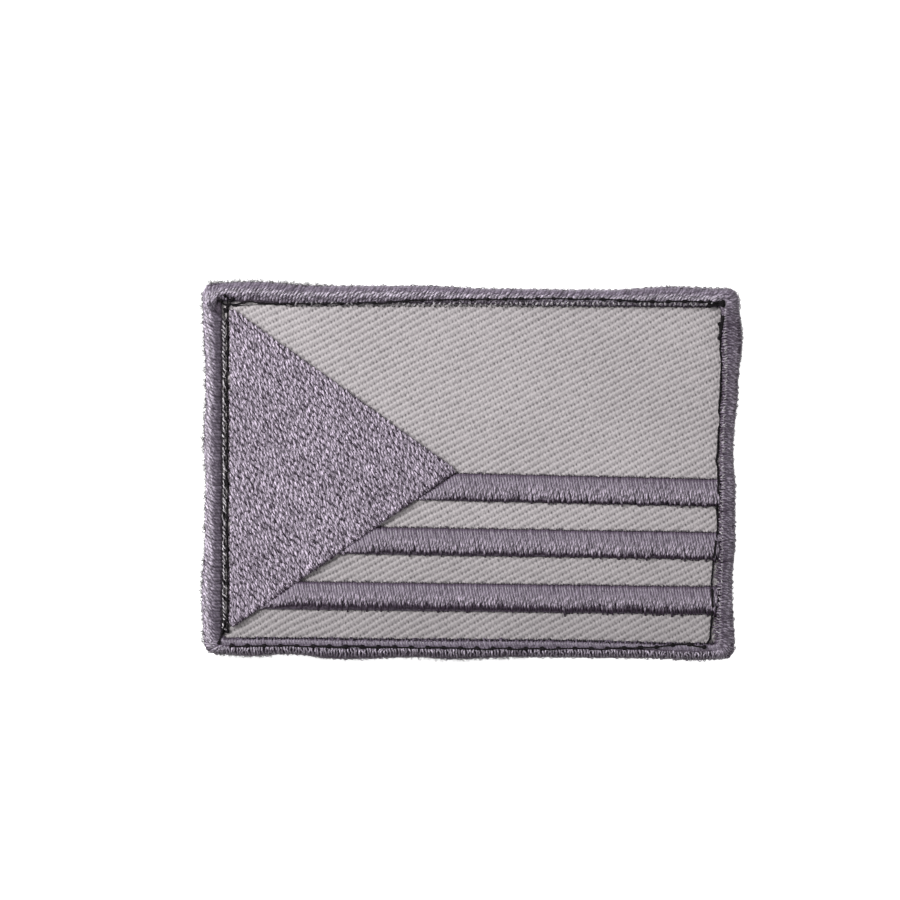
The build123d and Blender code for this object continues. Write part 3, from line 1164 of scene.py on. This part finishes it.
# Many of the needle holes, drawn as dashes of painted shade, have closed up, and those along the lower edge
# gape.
# gaping: how many still show. sunk: how far below the fill's top. stray: how unevenly they lie
Holes = namedtuple("Holes", "name seed gaping sunk length breadth stray")
fill_holes = [
    Holes("fill_holes", 6, 0.80, 0.06, 0.90, 0.28, 0.0),
    Holes("fill_head_holes", 7, 0.60, 0.12, 0.90, 0.28, 0.0),
    Holes("fill_foot_holes", 8, 0.75, 0.03, 0.70, 0.38, 0.12),
]


def fill_threads():
    """Leaning rows of stitches, laid like bricks over the whole triangle."""
    chance = np.random.default_rng(5)
    solid, low, high = solid_and_box("triangle_fill")
    along = slanting(fill_lean)
    beside = clockwise_of(along)
    middle = np.array(((low.x + high.x) / 2, (low.y + high.y) / 2))
    reach = half_length + half_width
    feet, heads, holes, head_holes, foot_holes = [], [], [], [], []
    for row, offset in enumerate(np.arange(-reach, reach, fill_row)):
        line = middle + beside * offset
        foot = edge_from(solid, line - along * reach, along, shoulder_level)
        head = edge_from(solid, line + along * reach, -along, shoulder_level)
        if foot is None or head is None or np.linalg.norm(head - foot) < shortest_thread:
            continue
        begin, end = (foot - line) @ along, (head - line) @ along
        first = (row * fill_stagger) % 1.0
        marks = (np.arange(-reach / fill_stitch, reach / fill_stitch) + first) * fill_stitch
        marks = marks + chance.normal(0, fill_marks, len(marks))
        inside = (marks > begin + shortest_thread) & (marks < end - shortest_thread)
        stops = [line + along * stop for stop in (begin, *marks[inside], end)]
        feet.extend(stops[:-1])
        heads.extend(stops[1:])
        holes.extend(stops[1:-1])
        head_holes.append(head)
        foot_holes.append(foot + along * foot_hole_in)
    feet, heads = np.array(feet), np.array(heads)
    folds = np.array(fill_folds)
    count, stations = len(feet), len(folds)
    feet += beside * chance.normal(0, fill_ends, (count, 1))
    heads += beside * chance.normal(0, fill_ends, (count, 1))
    plan = between(feet, heads, folds[:, 0])
    plan = plan + beside * chance.normal(0, fill_sway, (count, stations, 1))
    lift = chance.normal(0, fill_lift, (count, stations))
    lift = lift + chance.normal(0, fill_lift, (count, 1))
    centres = raised(plan, twill_face + folds[:, 1] * (fill_top - twill_face) + lift)
    uneven = 1 + chance.normal(0, fill_spread, (count, stations))
    breadths = fill_row * thread_lap * folds[:, 2] * uneven
    look = Look(chance.random(count), folds[:, 3], folds[:, 4])
    depth = thread_depth * fill_flat
    pieces = [sheaf("fill_threads", centres, (*beside, 0.0), breadths, depth, look, fill_thread)]
    for row, places in zip(fill_holes, (holes, head_holes, foot_holes)):
        shown = np.array(places)[chance.random(len(places)) < row.gaping]
        if row.stray:
            shown = shown + chance.normal(0, row.stray, shown.shape)
        level = fill_top - row.sunk
        size = (row.length, row.breadth)
        pieces.append(needle_hole_shade(row.name, shown, fill_lean, level, *size, row.seed, fill_thread))
    return joined("fill_threads", *pieces)


def triangle_piece():
    core = packed_core("triangle_fill", "triangle_core", squeeze=0.5, shrink=0.03)
    piece = joined("triangle_satin", fill_threads(), core)
    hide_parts("triangle_fill")
    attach(piece, "root")
    return piece


# Twill

# Places along the outline where its wander is measured, from this far inside the cloth's box
long_probes = 40
long_margin = 1.5
short_probes = 60
short_margin = 0.3


def twill_piece():
    """The ground: a grid whose rows follow the weave, bent to the solid's outline, with walls and a back."""
    solid, low, high = solid_and_box("twill_ground")
    level = (low.z + high.z) / 2
    columns = int((high.x - low.x) / end_spacing) * 2
    rows = int((high.y - low.y) / rib_spacing) * 4
    bpy.ops.object.select_all(action="DESELECT")
    bpy.ops.mesh.primitive_grid_add(x_subdivisions=columns, y_subdivisions=rows, size=1)
    piece = bpy.context.active_object
    piece.name = "twill_cloth"
    mesh = piece.data
    flat = np.zeros(len(mesh.vertices) * 3, np.float32)
    mesh.vertices.foreach_get("co", flat)
    flat = flat.reshape(-1, 3)
    column = np.round((flat[:, 0] + 0.5) * columns)
    row = np.round((flat[:, 1] + 0.5) * rows)

    # Rows are a quarter of a rib apart and follow the ribs, so that every crest lies on a row.
    # The ends lean, so a rib's rise over one end is shared between its step and that lean.
    skew = tan(radians(end_lean))
    rib_run = 1 + skew * end_step / end_spacing
    rib_slope = end_step / end_spacing / rib_run
    quarter = rib_spacing / rib_run / 4
    across = (column - columns / 2) * end_spacing / 2
    offset = (across * rib_slope + quarter / 2) % quarter - quarter / 2
    up = (row - rows / 2) * quarter + offset
    down = -(up - across * rib_slope) / (4 * quarter) % 1.0
    climb = (rib_crest - down) / rib_crest
    drop = (down - rib_crest) / (1 - rib_crest)
    swell = rib_height * (np.cos(pi * np.where(down < rib_crest, climb, drop)) - 1) / 2

    # The outline's own wander is shared out over the cloth
    def outline(marks, places, heading, axis):
        """How far out the outline lies in front of each place."""
        found = [edge_from(solid, place, heading, level)[axis] for place in places]
        return lambda run: np.interp(run, marks, found)

    x_marks = np.linspace(low.x + long_margin, high.x - long_margin, long_probes)
    y_marks = np.linspace(low.y + short_margin, high.y - short_margin, short_probes)
    top = outline(x_marks, [(x, 2 * half_width) for x in x_marks], (0, -1), 1)
    foot = outline(x_marks, [(x, -2 * half_width) for x in x_marks], (0, 1), 1)
    left = outline(y_marks, [(-2 * half_length, y) for y in y_marks], (1, 0), 0)
    right = outline(y_marks, [(2 * half_length, y) for y in y_marks], (-1, 0), 0)
    share_x = np.clip(across / (columns * end_spacing / 2) + 0.5, 0, 1)
    share_y = np.clip(up / (rows * quarter) + 0.5, 0, 1)
    rough_x = low.x + share_x * (high.x - low.x)
    y = foot(rough_x) + (top(rough_x) - foot(rough_x)) * share_y
    x = left(y) + (right(y) - left(y)) * share_x
    placed = np.stack([x, y, high.z + swell], axis=-1) * mm
    mesh.vertices.foreach_set("co", placed.astype(np.float32).reshape(-1))
    mesh.update()

    layer = mesh.uv_layers.active
    layer.name = "weave"
    corners = np.zeros(len(mesh.loops), np.int32)
    mesh.loops.foreach_get("vertex_index", corners)
    weave = np.stack([across - up * skew, up], axis=-1)
    layer.data.foreach_set("uv", weave[corners].astype(np.float32).reshape(-1))

    only(piece)
    bpy.ops.object.mode_set(mode="EDIT")
    bpy.ops.mesh.select_mode(type="EDGE")
    bpy.ops.mesh.select_all(action="DESELECT")
    bpy.ops.mesh.select_non_manifold()
    bpy.ops.mesh.extrude_region_move(TRANSFORM_OT_translate={"value": (0, 0, -0.5 * mm)})
    bpy.ops.transform.resize(value=(1, 1, 0), center_override=(0, 0, low.z * mm))
    bpy.ops.mesh.edge_face_add()
    bpy.ops.object.mode_set(mode="OBJECT")
    dressed(piece, grey_twill)
    bpy.ops.object.shade_smooth_by_angle(angle=radians(50))
    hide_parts("twill_ground")
    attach(piece, "root")
    return piece


# Seam

# A turn of the seam's line. across and up: shares of half the patch's length and width
Turn = namedtuple("Turn", "across up")
seam_turns = [
    Turn(-0.907, 0.880),
    Turn(-0.875, 0.894),
    Turn(-0.748, 0.886),
    Turn(-0.526, 0.883),
    Turn(-0.415, 0.886),
    Turn(-0.304, 0.895),
    Turn(-0.193, 0.903),
    Turn(0.030, 0.906),
    Turn(0.141, 0.909),
    Turn(0.252, 0.911),
    Turn(0.474, 0.909),
    Turn(0.585, 0.896),
    Turn(0.807, 0.896),
    Turn(0.925, 0.890),
    Turn(0.927, 0.800),
    Turn(0.920, 0.746),
    Turn(0.916, 0.683),
    Turn(0.928, 0.619),
    Turn(0.923, 0.492),
    Turn(0.920, 0.365),
    Turn(0.915, 0.302),
    Turn(0.916, 0.175),
    Turn(0.905, 0.048),
    Turn(0.914, -0.016),
    Turn(0.905, -0.079),
    Turn(0.915, -0.143),
    Turn(0.907, -0.206),
    Turn(0.912, -0.270),
    Turn(0.909, -0.333),
    Turn(0.897, -0.397),
    Turn(0.893, -0.524),
    Turn(0.888, -0.587),
    Turn(0.891, -0.714),
    Turn(0.887, -0.841),
    Turn(0.878, -0.947),
    Turn(0.852, -0.923),
    Turn(0.763, -0.913),
    Turn(0.720, -0.930),
    Turn(0.474, -0.940),
    Turn(0.030, -0.940),
    Turn(-0.193, -0.934),
    Turn(-0.526, -0.928),
    Turn(-0.900, -0.924),
    Turn(-0.907, -0.890),
]
# Black stitches beside the seam's own line: where it starts and ends, and where it was caught down.
# From one plan place to another, in shares of half the length and width. girth: in millimetres
Tack = namedtuple("Tack", "across up to_across to_up girth")
tacks = [
    Tack(-0.904, 0.950, -0.911, 0.845, 0.42),
    Tack(-0.885, 0.912, -0.911, 0.850, 0.46),
    Tack(-0.930, 0.900, -0.906, 0.872, 0.46),
    Tack(-0.916, 0.928, -0.893, 0.902, 0.40),
    Tack(-0.885, 0.874, -0.690, 0.881, 0.13),
    Tack(0.876, 0.892, 0.930, 0.892, 0.62),
    Tack(0.878, 0.877, 0.930, 0.879, 0.58),
    Tack(0.930, 0.812, 0.922, 0.712, 0.60),
    Tack(0.918, 0.780, 0.917, 0.700, 0.50),
    Tack(-0.916, -0.812, -0.938, -0.912, 0.36),
    Tack(-0.911, -0.790, -0.925, -0.860, 0.50),
]
# The cord that lies in the channel beside the left border, from its foot to its head
channel_cord = (-0.9185, -0.850, -0.9185, 0.860)
cord_girth = 0.28
# A seam stitch, from where it comes up to where it goes down. girth: share of the knot's
stitch_pulls = [
    Pull(-0.06, -0.9, 1.00),
    Pull(0.00, 0.08, 1.50),
    Pull(0.08, 0.24, 1.45),
    Pull(0.16, 0.26, 0.66),
    Pull(0.50, 0.30, 0.52),
    Pull(0.82, 0.28, 0.58),
    Pull(0.91, 0.24, 1.35),
    Pull(1.00, 0.08, 1.50),
    Pull(1.06, -0.9, 0.90),
]
# Right of smooth_side the seam runs smoother, and above top_side it is finer
smooth_girth = 0.66
smooth_side = 34.0
smooth_knots = 0.15
top_side = 22.0
top_seam = 0.80
needle_sink = 0.45
# How far a stitch follows the ground up and down from its own middle
seam_give = 0.12
tack_give = 0.6
seam_sway = 0.07
seam_scatter = 0.08
seam_flat = 0.8
back_girth = 0.9
back_flat = 0.7
# Stitches that the border's thread hides, by a place near their middle
tucked = [(0.927, 0.845), (-0.905, -0.880)]
tuck_reach = 1.3


def loop_points(turns, spacing):
    """Points at this spacing round a closed line through these plan points."""
    closed = np.concatenate([turns, turns[:1]])
    run = np.concatenate([[0], np.cumsum(np.linalg.norm(np.diff(closed, axis=0), axis=1))])
    marks = np.linspace(0, run[-1], int(run[-1] / spacing) + 1)
    return np.stack([np.interp(marks, run, closed[:, 0]), np.interp(marks, run, closed[:, 1])], axis=-1)


def black_stitches(name, starts, ends, girths, surfaces, give, seed, knots=1.0):
    """Lockstitches laid over the finished pieces, each pulled down into its needle holes.
    knots: 1 where the thread is bunched at its holes, 0 where it runs smooth."""
    chance = np.random.default_rng(seed)
    count = len(starts)
    pulls = np.array(stitch_pulls)
    beside = sideways(ends - starts)
    sway = chance.normal(0, seam_sway, (count, 1)) * np.sin(np.clip(pulls[:, 0], 0, 1) * pi)
    plan = moved(between(starts, ends, pulls[:, 0]), beside[:, :2], sway)
    beds = np.array([[top_of(surfaces, x, y) for x, y in row] for row in plan])
    middle = np.median(beds[:, 2:-2], axis=1, keepdims=True)
    height = np.clip(beds, middle - give, middle + give) + pulls[:, 1] * needle_sink
    bunched = smooth_girth + (pulls[:, 2] - smooth_girth) * np.reshape(knots, (-1, 1))
    breadths = girths[:, None] * bunched * (1 + chance.normal(0, seam_scatter, (count, 1)))
    look = Look(chance.random(count))
    across = beside[:, None, :]
    return sheaf(name, raised(plan, height), across, breadths, breadths * seam_flat, look, seam_thread)


def seam_line():
    return loop_points(np.array(seam_turns) * (half_length, half_width), seam_stitch)


def seam_front(surfaces):
    """The lockstitch on the face, its odd stitches, the cord in the channel and the black hems, which stand
    partly for black thread and partly for painted shade in the needle holes.
    """
    half = np.array((half_length, half_width))
    holes = seam_line()
    starts, ends = holes[:-1], holes[1:]
    away = [np.linalg.norm((starts + ends) / 2 - place * half, axis=1) for place in np.array(tucked)]
    shown = np.min(away, axis=0) > tuck_reach
    starts, ends = starts[shown], ends[shown]
    along_top = (starts[:, 1] > top_side) & (ends[:, 1] > top_side)
    girths = seam_knot * np.where(along_top, top_seam, 1)
    knots = np.where((starts[:, 0] > smooth_side) & (ends[:, 0] > smooth_side), smooth_knots, 1.0)
    seam = black_stitches("seam_front", starts, ends, girths, surfaces, seam_give, 3, knots)
    odd = np.array(tacks)
    starts, ends, girths = odd[:, 0:2] * half, odd[:, 2:4] * half, odd[:, 4]
    caught = black_stitches("seam_tacks", starts, ends, girths, surfaces, tack_give, 4)
    foot, head = channel_cord[:2] * half, channel_cord[2:] * half
    marks = np.linspace(0, 1, int((head - foot)[1] / seam_stitch) + 1)[:, None]
    knots = foot + (head - foot) * marks
    girths = np.full(len(knots) - 1, cord_girth)
    cord = black_stitches("channel_cord", knots[:-1], knots[1:], girths, surfaces[:1], seam_give, 5)
    hole_shade_ticks = hem_threads("black_hems_and_hole_shade", black_hems_and_hole_shade, surfaces, seam_thread)
    return joined("seam_front", seam, caught, cord, hole_shade_ticks)


def seam_back():
    """The same seam's stitches on the back of the tape."""
    chance = np.random.default_rng(13)
    holes = seam_line()
    starts = (holes[:-1] + holes[1:]) / 2
    ends = np.roll(starts, -1, axis=0)
    pulls = np.array(stitch_pulls)
    height = hook_top - pulls[:, 1] * needle_sink * np.ones((len(starts), 1))
    centres = raised(between(starts, ends, pulls[:, 0]), height)
    across = sideways(ends - starts)[:, None, :]
    breadths = seam_knot * back_girth * pulls[:, 2]
    look = Look(chance.random(len(starts)))
    return sheaf("seam_back", centres, across, breadths, breadths * back_flat, look, seam_thread)


# Hook tape

tape_clearance = 0.02


def tape_piece():
    """The woven tape: a copy of the backing, cut off above its hooks and closed."""
    piece = merged_copy("hook_backing", "hook_tape")
    cut = (0, 0, (hook_top + tape_clearance) * mm)
    bpy.ops.mesh.bisect(plane_co=cut, plane_no=(0, 0, 1), clear_inner=True, use_fill=True)
    bpy.ops.mesh.select_all(action="SELECT")
    bpy.ops.mesh.normals_make_consistent(inside=False)
    bpy.ops.object.mode_set(mode="OBJECT")
    dressed(piece, black_tape)
    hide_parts("hook_backing")
    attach(piece, "root")
    return piece


# A hook's bend. share of its reach, and of its length down from the tape
Bend = namedtuple("Bend", "share down")
hook_bends = [
    Bend(0.0, -0.05),
    Bend(0.0, 0.45),
    Bend(0.08, 0.78),
    Bend(0.42, 0.90),
    Bend(0.86, 0.82),
    Bend(1.0, 0.58),
]
hook_scatter = 0.05
hook_turn = 0.04
# They stand only where the block's underside is at the very bottom
block_bottom = 0.01


def hooks_piece():
    """Nylon hooks in rows under the tape, every second row facing the other way."""
    chance = np.random.default_rng(9)
    solid, low, high = solid_and_box("hook_backing")
    roots, turns = [], []
    for row, y in enumerate(np.arange(low.y, high.y, hook_pitch)):
        shift = hook_pitch / 2 * (row % 2)
        for x in np.arange(low.x + shift, high.x, hook_pitch):
            hit = solid.ray_cast(Vector((x, y, -hook_top)), Vector((0, 0, 1)))[0]
            if hit is not None and hit.z < block_bottom:
                roots.append((x, y))
                turns.append(1 if row % 2 else -1)
    count = len(roots)
    roots = np.array(roots) + chance.normal(0, hook_scatter, (count, 2))
    share, down = np.array(hook_bends).T
    x = roots[:, None, 0] + np.array(turns)[:, None] * (share - hook_lean) * hook_reach
    y = roots[:, None, 1] + chance.normal(0, hook_turn, (count, 1)) * share
    z = np.broadcast_to(hook_top - down * hook_top, x.shape)
    centres = np.stack([x, y, z], axis=-1)
    look = Look(chance.random(count))
    piece = sheaf("nylon_hooks", centres, (0, 1.0, 0), hook_breadth, hook_breadth, look, hook_nylon, sides=4)
    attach(piece, "root")
    return piece


# Building the patch

twill = twill_piece()
twill_surface = surface_of(twill)
border = border_piece(twill_surface)
loose_fibres()
triangle = triangle_piece()
bars = [bar_piece(bar) for bar in bars_table]
tape = tape_piece()
hooks_piece()
surfaces = [twill_surface] + [surface_of(piece) for piece in (border, triangle, *bars)]
for seam in (seam_front(surfaces), seam_back()):
    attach(seam, "root")


# Floor, light and camera

# In metres, so wide that its end is never seen from low down
floor_size = 12.0
bpy.ops.object.select_all(action="DESELECT")
bpy.ops.mesh.primitive_plane_add(size=floor_size, location=(0, 0, 0))
floor = bpy.context.active_object
floor.name = "floor"
floor.data.materials.append(white_acrylic)

patch_middle = Vector((0, 0, twill_face * mm))


def soft_box(name, azimuth, elevation, distance, size, power):
    """A square lamp that faces the patch, with its distance and size in metres.
    Azimuth is in degrees clockwise from the top edge, seen from above."""
    round_by, up_by = radians(azimuth), radians(elevation)
    away = Vector((sin(round_by) * cos(up_by), cos(round_by) * cos(up_by), sin(up_by)))
    turned = away.to_track_quat("Z", "Y").to_euler()
    bpy.ops.object.light_add(type="AREA", location=patch_middle + away * distance, rotation=turned)
    lamp = bpy.context.active_object
    lamp.name = name
    lamp.data.size = size
    lamp.data.energy = power
    return lamp


soft_box("window", azimuth=298, elevation=36, distance=0.5, size=0.25, power=3.55)
soft_box("reflector", azimuth=100, elevation=28, distance=0.7, size=0.3, power=0.8)
shine = soft_box("low_shine", azimuth=252, elevation=48, distance=0.8, size=0.35, power=4.0)
shine.visible_diffuse = False

world = bpy.data.worlds.new("studio")
bpy.context.scene.world = world
world.use_nodes = True
sky = world.node_tree.nodes["Background"].inputs
sky["Color"].default_value = (1.0, 1.0, 1.0, 1)
sky["Strength"].default_value = 0.345

# The photograph looks straight down and shows 133 mm, with the patch a little off its middle
view_width = 133.3
view_middle = (-3.26, 3.1)
lens = 100.0
sensor = 36.0
distance = view_width * lens / sensor
above = Vector((*view_middle, distance + fill_top)) * mm
bpy.ops.object.camera_add(location=above, rotation=(0, 0, 0))
camera = bpy.context.active_object
camera.data.lens = lens
camera.data.sensor_width = sensor
camera.data.clip_start = 0.01
bpy.context.scene.camera = camera
bpy.context.scene.view_settings.view_transform = "Standard"
